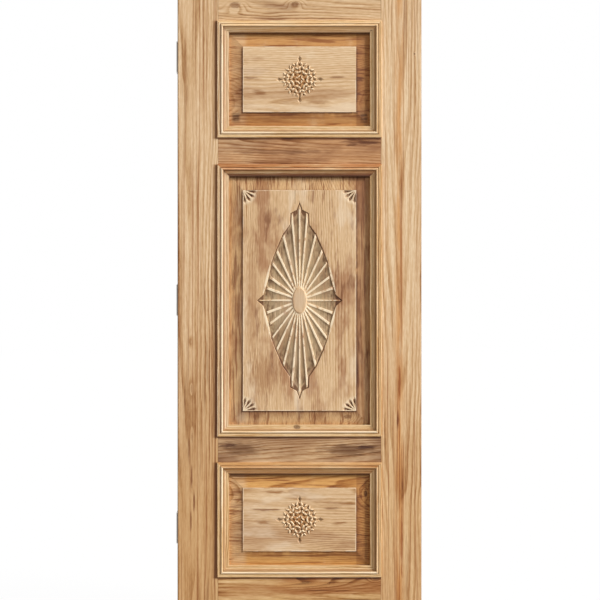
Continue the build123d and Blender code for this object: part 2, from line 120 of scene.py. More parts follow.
class Nodes:
    """Short calls for the nodes of one material, or of the world."""

    def __init__(self, block: bpy.types.Material | bpy.types.World) -> None:
        """Starts with no nodes but those of the three axes.

        Args:
            block: Material or world that holds the nodes.
        """
        block.use_nodes = True
        self.block = block
        self.tree = block.node_tree
        self.tree.nodes.clear()
        place = self.add("TexCoord", {}).outputs["Object"]
        axes = self.add("SeparateXYZ", {0: place}).outputs
        self.axes = {axis: axes[axis.value] for axis in Axis}

    def add(self, kind: str, inputs: dict[str | int, Value | Colour], **settings: object) -> bpy.types.Node:
        """Adds a node.

        Args:
            kind: Its type, without the words that all types begin with.
            inputs: Link, number or colour for each input.
            settings: Its settings by name.

        Returns:
            The node.
        """
        node = self.tree.nodes.new(f"ShaderNode{kind}")
        for name, setting in settings.items():
            setattr(node, name, setting)
        for place, value in inputs.items():
            if isinstance(value, Socket):
                self.tree.links.new(value, node.inputs[place])
            else:
                node.inputs[place].default_value = (*value, 1.0) if isinstance(value, tuple) else value
        return node

    def math(self, operation: str, first: Value, second: Value = 0.0, clamp: bool = False) -> Socket:
        """Result of one sum, kept from 0 to 1 where it is clamped."""
        inputs = {0: first, 1: second}
        return self.add("Math", inputs, operation=operation, use_clamp=clamp).outputs[0]

    def times(self, *values: Value) -> Value:
        """Product of some numbers."""
        return reduce(lambda first, second: self.math("MULTIPLY", first, second), values)

    def plus(self, *values: Value) -> Value:
        """Sum of some numbers."""
        return reduce(lambda first, second: self.math("ADD", first, second), values)

    def less(self, first: Value, second: Value) -> Socket:
        """First number less the second."""
        return self.math("SUBTRACT", first, second)

    def rest(self, share: Value) -> Socket:
        """What a share leaves of 1."""
        return self.math("SUBTRACT", 1.0, share)

    def between(self, rise: Value, fall: Value) -> Socket:
        """Share from 0 to 1 that comes with a rise and goes with a fall."""
        return self.math("SUBTRACT", rise, fall, clamp=True)

    def offset(self, share: Value, size: float) -> Socket:
        """Share from 0 to 1 as a shift to both sides, over a size in all."""
        return self.times(self.less(share, 0.5), size)

    def length(self, first: Socket, second: Socket) -> Socket:
        """Length of the slope over two sides at right angles."""
        return self.math("SQRT", self.plus(self.times(first, first), self.times(second, second)))

    def step(self, value: Socket, low: float, high: float) -> Socket:
        """Smooth rise from 0 at a low number to 1 at a high one."""
        inputs = {"Value": value, "From Min": low, "From Max": high}
        return self.add("MapRange", inputs, interpolation_type="SMOOTHSTEP").outputs["Result"]

    def vector(self, *parts: Value) -> Socket:
        """Three numbers as one vector."""
        return self.add("CombineXYZ", dict(enumerate(parts))).outputs[0]

    def noise(self, vector: Socket, detail: float, roughness: float = 0.5) -> Socket:
        """Noise from 0 to 1 over a vector that is already at its scale."""
        inputs = {"Vector": vector, "Scale": 1.0, "Detail": detail, "Roughness": roughness}
        return self.add("TexNoise", inputs).outputs["Fac"]

    def stretched(self, scales: Triple) -> list[Socket]:
        """The three axes, each at its own scale."""
        return [self.times(self.axes[axis], scale) for axis, scale in zip(Axis, scales)]

    def spots(self, scales: Triple, detail: float) -> Socket:
        """Noise from 0 to 1 over the axes, each at its own scale."""
        return self.noise(self.vector(*self.stretched(scales)), detail)

    def oval(self, x: float, z: float, half_x: float, half_z: float) -> Socket:
        """Distance from the middle of an oval with these half sizes, 1 on its edge."""
        across = self.times(self.less(self.axes[X], x), 1 / half_x)
        return self.length(across, self.times(self.less(self.axes[Z], z), 1 / half_z))

    def mix(self, share: Value, first: Paint, second: Paint, blend: Blend = Blend.MIX) -> Socket:
        """Mix of two colours, with a share of the second on the first."""
        inputs = {"Factor": share, **dict(zip(MIX_COLOURS, (first, second)))}
        return self.add("Mix", inputs, data_type="RGBA", blend_type=blend.value).outputs[MIX_RESULT]

    def ramp(self, share: Socket, stops: tuple[tuple[float, Colour], ...]) -> Socket:
        """Colour along a row of stops.

        Args:
            share: Place along the row.
            stops: Places and colours.

        Returns:
            The colour.
        """
        node = self.add("ValToRGB", {0: share})
        elements = node.color_ramp.elements
        while len(elements) < len(stops):
            elements.new(1.0)
        for element, (place, colour) in zip(elements, stops):
            element.position = place
            element.color = (*colour, 1.0)
        return node.outputs[0]

    def finish(self, height: Socket, depth: float, inputs: dict[str, Paint | float]) -> bpy.types.Material:
        """Closes a material with a shader.

        Args:
            height: Relief from 0 to 1.
            depth: Depth of the relief in metres.
            inputs: Colour, roughness and other inputs of the shader.

        Returns:
            The finished material.
        """
        bump = self.add("Bump", {"Strength": 1.0, "Distance": depth, "Height": height})
        shader = self.add("BsdfPrincipled", {"Normal": bump.outputs[0], **inputs})
        self.add("OutputMaterial", {0: shader.outputs[0]})
        return self.block


@dataclass(frozen=True)
class Span:
    """Stretch along one axis, in metres, with soft ends."""

    axis: Axis
    low: float
    high: float
    soft: float = 0.0004

    def mask(self, nodes: Nodes) -> Socket:
        """Mask that is 1 inside the stretch."""
        place, soft = nodes.axes[self.axis], self.soft
        return nodes.between(*(nodes.step(place, end - soft, end + soft) for end in (self.low, self.high)))


@dataclass(frozen=True)
class Speckle:
    """Spots where a noise is high."""

    scales: Triple
    detail: float
    low: float
    high: float

    def mask(self, nodes: Nodes) -> Socket:
        """Mask that is 1 in the spots."""
        return nodes.step(nodes.spots(self.scales, self.detail), self.low, self.high)


@dataclass(frozen=True)
class Tint:
    """Colour of a tone, how strong it is and how it lies."""

    colour: Colour
    strength: float
    blend: Blend = Blend.STAIN

    def lay(self, nodes: Nodes, below: Socket, *shares: Value) -> Socket:
        """Lays the tone over a colour, as far as all the shares let it."""
        return nodes.mix(nodes.times(*shares, self.strength), below, self.colour, self.blend)


class Stain(ABC):
    """Mark of one colour, which goes through the board or lies on its front."""

    colour: Colour
    strength: float
    blend: Blend
    through: bool

    @abstractmethod
    def mask(self, nodes: Nodes) -> Socket:
        """Share of the mark from 0 to 1, before its strength."""

    def lay(self, nodes: Nodes, below: Socket) -> Socket:
        """Lays the mark over a colour."""
        share = nodes.times(self.mask(nodes), self.strength)
        return nodes.mix(share, below, self.colour, self.blend)


@dataclass(frozen=True)
class Patch(Stain):
    """Another tone where several stretches meet, torn along the grain if it is ragged."""

    spans: tuple[Span, ...]
    colour: Colour
    strength: float
    blend: Blend = Blend.STAIN
    ragged: float = 0.0
    grain: Grain = UPRIGHT
    fine: float = 70.0
    through: bool = False
    coarse: float = 6.0
    inward: float = 40.0
    low_share: float = 0.45
    high_share: float = 0.2

    def mask(self, nodes: Nodes) -> Socket:
        """Where the stretches meet and aren't torn.

        Args:
            nodes: Nodes of the material.

        Returns:
            The mask.
        """
        parts = [span.mask(nodes) for span in self.spans]
        if self.ragged > 0:
            low, high = 0.5 - self.low_share * self.ragged, 0.5 + self.high_share * self.ragged
            scales = self.grain.scales(self.fine, self.inward, self.coarse)
            parts.append(Speckle(scales, 3.0, low, high).mask(nodes))
        return nodes.times(*parts)


@dataclass(frozen=True)
class Cloud(Stain):
    """Soft oval stain on the front, broken up along its length."""

    x: float
    z: float
    half_x: float
    half_z: float
    colour: Colour
    strength: float
    ragged: float = 0.7
    blend: Blend = Blend.STAIN
    through: bool = False
    scales: Triple = (220.0, 60.0, 30.0)
    sway: float = 2.4
    fade: Ramp = (0.25, 1.0)

    def mask(self, nodes: Nodes) -> Socket:
        """Fades from the middle of the oval to its broken edge.

        Args:
            nodes: Nodes of the material.

        Returns:
            The mask.
        """
        grain = UPRIGHT if self.half_z > self.half_x else LEVEL
        spots = nodes.spots(grain.scales(*self.scales), 3.0)
        reach = nodes.oval(self.x, self.z, self.half_x, self.half_z)
        broken = nodes.plus(reach, nodes.offset(spots, self.sway * self.ragged))
        return nodes.rest(nodes.step(broken, *self.fade))


@dataclass(frozen=True)
class Knot(Stain):
    """Knot in a board, with the year rings bulging round it."""

    x: float
    z: float
    half_x: float
    half_z: float
    bulge: float = 0.012
    colour: Colour = srgb(122, 78, 44)
    strength: float = 0.85
    blend: Blend = Blend.MIX
    through: bool = True
    bulge_share: float = 2.6
    bulge_fade: Ramp = (0.0, 1.2)
    scales: Triple = (260.0, 60.0, 260.0)
    wobble: float = 0.7
    rings: float = 2.6
    ring_share: float = 0.5
    fade: Ramp = (0.55, 1.15)

    def lift(self, nodes: Nodes) -> Socket:
        """How far the year rings bulge round the knot, in metres."""
        reach = nodes.oval(self.x, self.z, *(self.bulge_share * half for half in (self.half_x, self.half_z)))
        return nodes.times(nodes.rest(nodes.step(reach, *self.bulge_fade)), self.bulge)

    def mask(self, nodes: Nodes) -> Socket:
        """Rings of the knot itself.

        Args:
            nodes: Nodes of the material.

        Returns:
            The mask.
        """
        reach = nodes.oval(self.x, self.z, self.half_x, self.half_z)
        reach = nodes.plus(reach, nodes.offset(nodes.spots(self.scales, 2.0), self.wobble))
        rings = nodes.math("FRACT", nodes.times(reach, self.rings))
        core = nodes.rest(nodes.step(reach, *self.fade))
        return nodes.times(core, nodes.plus(nodes.times(rings, self.ring_share), 1 - self.ring_share))


@dataclass(frozen=True)
class Wash(Stain):
    """Uneven stain over a whole board, drawn out along the grain."""

    colour: Colour
    strength: float
    across: float
    along: float
    low: float
    high: float
    seed: float
    grain: Grain = UPRIGHT
    blend: Blend = Blend.STAIN
    through: bool = True
    detail: float = 4.0
    roughness: float = 0.6

    def mask(self, nodes: Nodes) -> Socket:
        """Where the stain has soaked in.

        Args:
            nodes: Nodes of the material.

        Returns:
            The mask.
        """
        parts = nodes.stretched(self.grain.scales(self.across, self.across, self.along))
        place = nodes.vector(*(nodes.plus(part, self.seed) for part in parts))
        return nodes.step(nodes.noise(place, self.detail, self.roughness), self.low, self.high)


@dataclass(frozen=True)
class CutTone:
    """Painted highlight, with wear, on the crests and painted shade, with dirt, in the hollows of the
    carving inside one outline.
    """

    outline: Outline
    x: float
    z: float
    half_x: float
    half_z: float
    field_y: float
    # Painted shade, with dirt, in the hollows.
    hollow_shade: Tint
    # Painted highlight, with wear, on the crests.
    crest_highlight: Tint
    limits: tuple[Span, ...] = ()
    soft: float = 0.02
    crest_rise: Ramp = (-0.0005, -0.0002)
    crest_fall: Ramp = (0.0002, 0.0014)
    wear: Speckle = Speckle((70.0, 70.0, 50.0), 2.0, 0.28, 0.5)
    hollow_depth: Ramp = (0.0006, 0.0026)
    hollow_reach: Ramp = (-0.35, -0.3)
    dirt: Speckle = Speckle((210.0, 60.0, 24.0), 3.0, 0.25, 0.75)
    dirt_least: float = 0.55
    # Painted shade in the pockets at the outer ends of the hollows.
    pocket_shade: Tint | None = None
    pocket_fade: Ramp = (0.05, 0.55)
    pocket_spots: Speckle = Speckle((80.0, 80.0, 50.0), 3.0, 0.35, 0.65)
    # Painted shade in the groove along the outline.
    groove: Tint | None = None
    groove_rise: Ramp = (-0.35, -0.3)
    groove_fall: Ramp = (0.0, 0.06)
    groove_depth: Ramp = (0.0012, 0.0024)
    neck_x: float = 0.027
    neck_z: float = 0.282
    lens_power: float = 1.7
    through: bool = False

    def inside(self, nodes: Nodes) -> Socket:
        """Distance inside the outline, 1 in the middle and 0 on the line.

        Args:
            nodes: Nodes of the material.

        Returns:
            The distance.
        """
        if self.outline is Outline.OVAL:
            return nodes.rest(nodes.oval(self.x, self.z, self.half_x, self.half_z))
        across = nodes.math("ABSOLUTE", nodes.less(nodes.axes[X], self.x))
        up = nodes.math("ABSOLUTE", nodes.less(nodes.axes[Z], self.z))
        curve = nodes.math("POWER", nodes.times(up, 1 / self.half_z), self.lens_power)
        lens = nodes.less(nodes.rest(curve), nodes.times(across, 1 / self.half_x))
        neck = nodes.times(nodes.less(self.neck_x, across), 1 / self.half_x)
        end = nodes.times(nodes.less(self.neck_z, up), 1 / self.half_z)
        return nodes.math("MAXIMUM", lens, nodes.math("MINIMUM", neck, end))

    def limited(self, nodes: Nodes, mask: Socket) -> Socket:
        """Keeps a mask within the limits."""
        return nodes.times(mask, *(span.mask(nodes) for span in self.limits))

    def lay(self, nodes: Nodes, below: Socket) -> Socket:
        """Lays the tones over a colour.

        Args:
            nodes: Nodes of the material.
            below: Colour under the tones.

        Returns:
            The colour with the tones on it.
        """
        reach = self.inside(nodes)
        depth = nodes.less(nodes.axes[Y], self.field_y)
        around = self.limited(nodes, nodes.step(reach, *self.hollow_reach))
        cut = nodes.times(nodes.step(depth, *self.hollow_depth), around, self.hollow_shade.strength)
        dirt = nodes.plus(self.dirt.mask(nodes), self.dirt_least)
        low = nodes.math("MULTIPLY", cut, dirt, clamp=True)
        colour = nodes.mix(low, below, self.hollow_shade.colour, self.hollow_shade.blend)
        if self.pocket_shade is not None:
            rim = nodes.rest(nodes.step(reach, *self.pocket_fade))
            colour = self.pocket_shade.lay(nodes, colour, low, rim, self.pocket_spots.mask(nodes))
        if self.groove is not None:
            outer = nodes.between(nodes.step(reach, *self.groove_rise), nodes.step(reach, *self.groove_fall))
            sunk = nodes.step(depth, *self.groove_depth)
            colour = self.groove.lay(nodes, colour, sunk, self.limited(nodes, outer))
        top = nodes.between(nodes.step(depth, *self.crest_rise), nodes.step(depth, *self.crest_fall))
        within = self.limited(nodes, nodes.step(reach, -self.soft, self.soft))
        return self.crest_highlight.lay(nodes, colour, top, within, self.wear.mask(nodes))


@dataclass(frozen=True)
class BevelTone:
    """Stain and painted shade on the bevels round a raised field, deeper below its foot than under its top
    edge: painted shadow at the field's foot and in its crease, painted shade on the right bevel, painted
    shadow with dirt under the top moulding, and a paler rim of painted highlight and wear.
    """

    z: float
    half_x: float
    half_z: float
    stain: Tint
    # Painted shadow in the crease at the field's foot.
    crease_shade: Tint
    # Share of the stain, and of the painted shadow at the foot, on the left bevel, which is painted lighter
    # as the side the light falls on.
    left_lit_share: float
    grain: Grain
    edge: float = 0.0006
    margin: float = 0.046
    patches: Speckle = Speckle((16.0, 16.0, 9.0), 4.0, 0.05, 0.45)
    left: Ramp = (-0.004, 0.02)
    right: Ramp = (-0.002, 0.004)
    # Painted shade on the right bevel.
    right_shade: Tint = Tint(srgb(156, 106, 56), 0.4)
    streak: Tint = Tint(srgb(158, 104, 58), 0.7)
    streak_scales: Triple = (170.0, 60.0, 7.0)
    streak_ramp: Ramp = (0.52, 0.66)
    # Painted shadow at the foot of the field, except under its top edge.
    foot_shadow: Tint = Tint(srgb(156, 106, 56), 0.6)
    foot_reach: Ramp = (0.0, 0.03)
    foot_top: Ramp = (-0.02, 0.01)
    foot_mottle: Ramp = (0.25, 0.65)
    crease_reach: Ramp = (0.001, 0.009)
    crease_mottle: Ramp = (0.2, 0.5)
    # Painted shadow, with dirt, along the top bevel under the top moulding.
    crevice_shade_and_dirt: Tint = Tint(srgb(96, 56, 26), 0.8)
    crevice_reach: Ramp = (-0.009, -0.002)
    # Paler rim along the field's edge: painted highlight on the arris, and wear.
    rim_highlight_and_wear: Tint = Tint(srgb(248, 230, 200), 0.55, Blend.MIX)
    rim_width: float = 0.0016
    rim_mottle: Ramp = (0.42, 0.6)
    # Scales of a noise that breaks up the painted shadow and highlight.
    mottle_scales: Triple = (30.0, 30.0, 22.0)
    through: bool = False

    def lay(self, nodes: Nodes, below: Socket) -> Socket:
        """Lays the stain, the painted shade and the painted highlight over a colour.

        Args:
            nodes: Nodes of the material.
            below: Colour under the stain.

        Returns:
            The colour with the stain and painted light on it.
        """
        x = nodes.axes[X]
        lift = nodes.less(nodes.axes[Z], self.z)
        across = nodes.less(nodes.math("ABSOLUTE", x), self.half_x)
        up = nodes.less(nodes.math("ABSOLUTE", lift), self.half_z)
        away = nodes.math("MAXIMUM", across, up)
        mask = nodes.step(away, 0.0, self.edge)

        def beyond(value: Socket, place: float, ramp: Ramp) -> Socket:
            """Rise about a place."""
            return nodes.step(value, place + ramp[0], place + ramp[1])

        inner = beyond(x, -self.half_x, self.left)
        share = nodes.plus(nodes.times(inner, 1 - self.left_lit_share), self.left_lit_share)
        drawn = Speckle(self.grain.scales(*self.streak_scales), 3.0, *self.streak_ramp)
        under = nodes.rest(beyond(lift, self.half_z, self.foot_top))
        near = nodes.rest(nodes.step(away, *self.foot_reach))
        tight = nodes.rest(nodes.step(away, *self.crease_reach))
        mottle = nodes.spots(self.mottle_scales, 3.0)
        # Stain and grain streaks, then painted shade on the right bevel, painted shadow at the foot and in
        # the crease, and painted shadow with dirt under the top moulding.
        layers = (
            (self.stain, self.patches.mask(nodes), share),
            (self.streak, drawn.mask(nodes)),
            (self.right_shade, beyond(x, self.half_x, self.right)),
            (self.foot_shadow, near, under, share, nodes.step(mottle, *self.foot_mottle)),
            (self.crease_shade, tight, under, nodes.step(mottle, *self.crease_mottle)),
            (self.crevice_shade_and_dirt, beyond(lift, self.half_z + self.margin, self.crevice_reach)),
        )
        colour = below
        for tint, *shares in layers:
            colour = tint.lay(nodes, colour, mask, *shares)
        # Painted highlight, with wear, along the field's rim.
        rim = nodes.between(nodes.step(away, -2 * self.rim_width, -self.rim_width), mask)
        return self.rim_highlight_and_wear.lay(nodes, colour, rim, nodes.step(mottle, *self.rim_mottle))


Mark = Stain | CutTone | BevelTone
Marks = tuple[Mark, ...]


@dataclass
class Board:
    """One board: how it was sawn, and the marks on it."""

    grain: Grain
    pith_across: float
    pith_depth: float
    seed: float
    tone: float = 0.0
    contrast: float = 1.0
    taper: float = 0.02
    marks: list[Mark] = field(default_factory=list)
    back: float | None = None

    def axes(self, nodes: Nodes) -> tuple[Socket, Socket, Socket]:
        """The axes across the grain, through the board and along the grain."""
        x, y, z = (nodes.axes[axis] for axis in Axis)
        return (x, y, z) if self.grain is UPRIGHT else (z, y, x)


@dataclass(frozen=True)
class Streak:
    """Noise drawn out along the grain of a board."""

    cross: float
    run: float
    detail: float
    turn: float
    size: float
    seed_shares: Triple = (7.3, 3.1, 5.7)

    def draw(self, nodes: Nodes, board: Board) -> Socket:
        """Draws the noise on a board.

        Args:
            nodes: Nodes of the material.
            board: How the board was sawn.

        Returns:
            The noise from 0 to 1.
        """
        across, through, along = (share * board.seed for share in self.seed_shares)
        shifts = (across + self.turn, through, along - self.turn)
        scales = (self.cross, self.cross, self.run)
        parts = (
            nodes.plus(nodes.times(axis, scale), shift)
            for axis, scale, shift in zip(board.axes(nodes), scales, shifts)
        )
        return nodes.noise(nodes.vector(*parts), self.detail)

    def shift(self, nodes: Nodes, board: Board, share: float = 1.0) -> Socket:
        """The noise as a shift to both sides, over a share of its size."""
        return nodes.offset(self.draw(nodes, board), self.size * share)


@dataclass(frozen=True)
class PineFinish:
    """Oiled pine with year rings, fibres and a satin sheen."""

    stops: tuple[tuple[float, Colour], ...] = (
        (0.0, srgb(239, 216, 181)),
        (0.3, srgb(217, 184, 144)),
        (0.55, srgb(198, 160, 116)),
        (0.8, srgb(164, 118, 73)),
        (1.0, srgb(118, 77, 41)),
    )
    base_tone: float = 0.2
    ring_width: float = 0.0048
    late_rise: Ramp = (0.35, 0.86)
    late_fall: Ramp = (0.9, 1.0)
    late_height: float = 0.12
    slow_sway: Streak = Streak(3.0, 0.9, 2.0, 1.0, 0.06)
    quick_sway: Streak = Streak(11.0, 5.0, 2.0, 2.0, 0.018)
    ripple: Streak = Streak(30.0, 7.0, 2.0, 8.0, 0.006)
    drift: Streak = Streak(18.0, 1.0, 2.0, 3.0, 2.0)
    vigour: Streak = Streak(10.0, 2.2, 2.0, 4.0, 0.5)
    vigour_ramp: Ramp = (0.25, 0.7)
    fibre: Streak = Streak(420.0, 45.0, 3.0, 5.0, 0.6)
    band: Streak = Streak(150.0, 1.6, 3.0, 6.0, 0.26)
    tone: Streak = Streak(7.0, 2.0, 4.0, 7.0, 0.2)
    resin: Streak = Streak(170.0, 3.0, 2.0, 9.0, 0.26)
    resin_ramp: Ramp = (0.62, 0.74)
    lines: Streak = Streak(240.0, 3.0, 2.0, 10.0, 0.6)
    nap: Streak = Streak(380.0, 11.0, 3.0, 5.0, 0.5)
    skin: float = 0.001
    relief: float = 0.0006
    roughness: float = 0.56
    crest_polish: float = -0.12
    specular: float = 0.35

    def dress(self, node: str, board: Board) -> None:
        """Gives a CAD node the pine of a board.

        Args:
            node: Name of the CAD node.
            board: How the board was sawn and marked.
        """
        if board.back is None:
            board.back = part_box(node)[1][Y.value] - self.skin / 2
        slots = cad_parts[node].data.materials
        slots.clear()
        slots.append(self.material(f"{node}_pine", board))
        log.info("%s dressed in %s pine", node, board.grain.value)

    def material(self, name: str, board: Board) -> bpy.types.Material:
        """Builds the pine of one board.

        Args:
            name: Name of the material.
            board: How the board was sawn and marked.

        Returns:
            The finished material.
        """
        nodes = Nodes(bpy.data.materials.new(name))
        late = self.late_wood(nodes, board)
        colour = self.marked(nodes, board, self.bare(nodes, board, late))
        nap = nodes.times(self.nap.draw(nodes, board), self.nap.size)
        height = nodes.math("ADD", nodes.times(late, self.late_height), nap, clamp=True)
        roughness = nodes.plus(nodes.times(height, self.crest_polish), self.roughness)
        inputs = {"Base Color": colour, "Roughness": roughness, "Specular IOR Level": self.specular}
        return nodes.finish(height, self.relief, inputs)

    def late_wood(self, nodes: Nodes, board: Board) -> Socket:
        """Dark part of the year rings round the pith, bulging at the knots.

        Args:
            nodes: Nodes of the material.
            board: How the board was sawn and marked.

        Returns:
            The share of late wood.
        """
        across, through, along = board.axes(nodes)
        streaks = (self.slow_sway, self.quick_sway, self.ripple)
        sway = nodes.plus(*(streak.shift(nodes, board) for streak in streaks))
        side = nodes.plus(nodes.less(across, board.pith_across), sway)
        radius = nodes.length(side, nodes.less(through, board.pith_depth))
        for mark in board.marks:
            if isinstance(mark, Knot):
                radius = nodes.plus(radius, mark.lift(nodes))
        radius = nodes.less(radius, nodes.times(along, board.taper))
        year = nodes.plus(nodes.times(radius, 1 / self.ring_width), self.drift.shift(nodes, board))
        ring = nodes.math("FRACT", year)
        return nodes.between(nodes.step(ring, *self.late_rise), nodes.step(ring, *self.late_fall))

    def bare(self, nodes: Nodes, board: Board, late: Socket) -> Socket:
        """Colour of the bare pine.

        Args:
            nodes: Nodes of the material.
            board: How the board was sawn.
            late: Share of late wood.

        Returns:
            The colour.
        """
        vigour = nodes.step(self.vigour.draw(nodes, board), *self.vigour_ramp)
        resin = nodes.step(self.resin.draw(nodes, board), *self.resin_ramp)
        share = nodes.plus(
            nodes.times(late, vigour, self.vigour.size * board.contrast),
            self.base_tone + board.tone,
            self.fibre.shift(nodes, board),
            self.band.shift(nodes, board, board.contrast),
            self.tone.shift(nodes, board),
            nodes.times(resin, self.resin.size * board.contrast),
            self.lines.shift(nodes, board, board.contrast),
        )
        return nodes.ramp(share, self.stops)

    def marked(self, nodes: Nodes, board: Board, colour: Socket) -> Socket:
        """Lays the marks of a board, those that go through it first.

        Args:
            nodes: Nodes of the material.
            board: Board with its marks.
            colour: Colour of the bare pine.

        Returns:
            The marked colour.
        """
        for mark in board.marks:
            if mark.through:
                colour = mark.lay(nodes, colour)
        front = colour
        for mark in board.marks:
            if not mark.through:
                front = mark.lay(nodes, front)
        if board.back is None:
            return colour
        behind = nodes.step(nodes.axes[Y], board.back - self.skin, board.back)
        return nodes.mix(behind, front, colour)


@dataclass(frozen=True)
class SteelFinish:
    """Satin steel with fine rubbed lines."""

    colour: Colour = (0.62, 0.61, 0.59)
    dull_share: float = 0.82
    dull_scales: Triple = (60.0, 60.0, 60.0)
    line_scales: Triple = (2200.0, 2200.0, 90.0)
    line_depth: float = 0.00005
    roughness: float = 0.26
    line_roughness: float = 0.18

    def material(self, name: str) -> bpy.types.Material:
        """Builds the steel.

        Args:
            name: Name of the material.

        Returns:
            The finished material.
        """
        nodes = Nodes(bpy.data.materials.new(name))
        lines = nodes.spots(self.line_scales, 2.0)
        dull = tuple(self.dull_share * part for part in self.colour)
        colour = nodes.mix(nodes.spots(self.dull_scales, 3.0), dull, self.colour)
        roughness = nodes.plus(nodes.times(lines, self.line_roughness), self.roughness)
        inputs = {"Base Color": colour, "Roughness": roughness, "Metallic": 1.0}
        return nodes.finish(lines, self.line_depth, inputs)


@dataclass
class LeafFrame:
    """Stiles, rails and wedges of the leaf, with their marks in the order in which they are laid."""

    finish: PineFinish
    golden: PineFinish
    opening_half: float = 0.267
    openings: tuple[Ramp, ...] = ((0.1415, 0.5175), (0.6025, 1.4945), (1.5825, 1.9655))
    joint_half: float = 0.0008
    joint: Tint = Tint(srgb(120, 84, 54), 0.7)
    # Reach of the painted shadow under a moulding, about the foot of its opening.
    foot_shadow: Ramp = (-0.007, 0.001)
    beside_x: float = -0.26
    beside_below: float = 0.004
    rim: Span = Span(Y, -0.03, -0.0195, 0.001)
    older: Span = Span(Z, -0.5, 0.75, 0.45)
    # Dark painted shadow line beside and under the mouldings.
    shadow_line: Colour = srgb(150, 106, 64)
    brown: Colour = srgb(150, 108, 78)
    burnt: Colour = srgb(120, 72, 40)
    smoke: Colour = srgb(160, 138, 120)
    flame: Colour = srgb(150, 100, 58)
    amber: Colour = srgb(190, 136, 82)
    resin: Colour = srgb(150, 104, 62)
    lined: Wash = Wash(srgb(182, 132, 76), 0.7, 190.0, 1.2, 0.54, 0.64, 3.0)
    smoked: Wash = Wash(brown, 0.7, 9.0, 3.0, 0.4, 0.66, 3.0, LEVEL)
    hinge_marks: Marks = (
        Patch((older,), srgb(228, 209, 180), 0.9, through=True),
        lined,
        Wash(srgb(206, 182, 154), 0.35, 10.0, 1.6, 0.48, 0.7, 5.0),
        Wash(brown, 0.35, 60.0, 3.0, 0.58, 0.7, 1.0),
        Knot(-0.356, 0.913, 0.004, 0.011, 0.003, resin, 0.6),
        Knot(-0.354, 0.76, 0.004, 0.016, 0.003, resin, 0.6),
        Knot(-0.352, 0.6, 0.003, 0.018, 0.002, srgb(140, 94, 54), 0.6),
        # Painted shade along the hinge edge of the leaf and its front arris.
        Patch((Span(X, -0.402, -0.397, 0.001), rim), srgb(150, 128, 100), 0.8),
        Cloud(-0.362, 0.560, 0.004, 0.070, flame, 0.7),
        Cloud(-0.354, 0.470, 0.004, 0.055, flame, 0.8),
        Cloud(-0.345, 0.390, 0.004, 0.045, flame, 0.8),
        Cloud(-0.357, 0.330, 0.005, 0.045, flame, 0.7),
    )
    lock_marks: Marks = (
        Patch((older,), srgb(236, 218, 188), 0.7, through=True),
        lined,
        Wash(srgb(216, 186, 152), 0.35, 10.0, 1.6, 0.5, 0.7, 8.0),
        Wash(brown, 0.3, 60.0, 3.0, 0.58, 0.72, 2.0),
        # Painted shade along the lock edge of the leaf and its front arris.
        Patch((Span(X, 0.3975, 0.402, 0.001), rim), srgb(176, 148, 118), 0.7),
        Patch((Span(X, 0.316, 0.338, 0.012),), srgb(232, 190, 132), 0.8, ragged=0.5),
        Cloud(0.322, 0.655, 0.006, 0.040, flame, 0.9, 0.5),
        Cloud(0.328, 0.780, 0.005, 0.120, amber, 0.7),
        Cloud(0.335, 0.250, 0.006, 0.140, amber, 0.7),
        Knot(0.377, 1.857, 0.003, 0.0036, 0.003, srgb(70, 44, 26), 0.9),
    )
    top_marks: Marks = (
        Wash(brown, 0.75, 16.0, 2.4, 0.48, 0.7, 9.0, LEVEL),
        Knot(-0.2115, 2.017, 0.02, 0.012),
        Knot(-0.0148, 2.021, 0.014, 0.009),
    )
    upper_marks: Marks = (
        smoked,
        Wash(srgb(222, 184, 150), 0.7, 3.0, 2.0, 0.3, 0.6, 1.5, LEVEL),
        Cloud(0.205, 1.566, 0.085, 0.014, burnt, 0.8),
        Cloud(-0.07, 1.535, 0.2, 0.012, burnt, 0.45),
    )
    lower_marks: Marks = (
        smoked,
        Wash(srgb(176, 150, 132), 0.75, 5.0, 2.5, 0.3, 0.6, 6.0, LEVEL),
        Cloud(-0.19, 0.562, 0.1, 0.03, smoke, 0.8),
        Cloud(0.16, 0.558, 0.12, 0.03, smoke, 0.8),
        Cloud(-0.234, 0.574, 0.04, 0.011, burnt, 0.85),
        Cloud(0.218, 0.568, 0.05, 0.01, burnt, 0.85),
    )
    bottom_marks: Marks = (
        Wash(srgb(190, 138, 82), 0.75, 14.0, 2.2, 0.4, 0.62, 4.0, LEVEL),
        Knot(0.2508, 0.137, 0.013, 0.008),
        Knot(0.01, 0.116, 0.12, 0.011, 0.012, srgb(214, 164, 102), 0.4),
    )

    def beside(self) -> list[Mark]:
        """Painted shadow, with some dirt, on the hinge stile beside the mouldings.

        Returns:
            The marks of all openings, from the lowest up.
        """
        # A wide soft painted shadow, and a narrow darker painted shadow line with dirt, beside each
        # moulding.
        bands = (
            (-0.284, 0.008, 0.003, Tint(srgb(186, 152, 112), 0.75)),
            (-0.2765, 0.002, 0.002, Tint(self.shadow_line, 0.6)),
        )
        marks: list[Mark] = []
        for low, high in self.openings:
            for x, soft, end_soft, tint in bands:
                reach = Span(Z, low - self.beside_below, high, end_soft)
                marks.append(Patch((Span(X, x, self.beside_x, soft), reach), tint.colour, tint.strength))
        return marks

    def rail(self, marks: Marks, opening: int | None = None) -> list[Mark]:
        """Marks of a rail, with its joints and a painted shadow under a moulding.

        Args:
            marks: The rail's own marks.
            opening: Opening above the rail, if there is one.

        Returns:
            All its marks.
        """
        joint, half = self.joint, self.joint_half
        found: list[Mark] = [
            Patch((Span(X, x - half, x + half),), joint.colour, joint.strength, through=True)
            for x in (-self.opening_half, self.opening_half)
        ]
        if opening is not None:
            # Painted shadow under the moulding of the opening above.
            low, high = (self.openings[opening][0] + reach for reach in self.foot_shadow)
            found.append(Patch((Span(Z, low, high, 0.0015),), self.shadow_line, 0.75))
        return [*found, *marks]

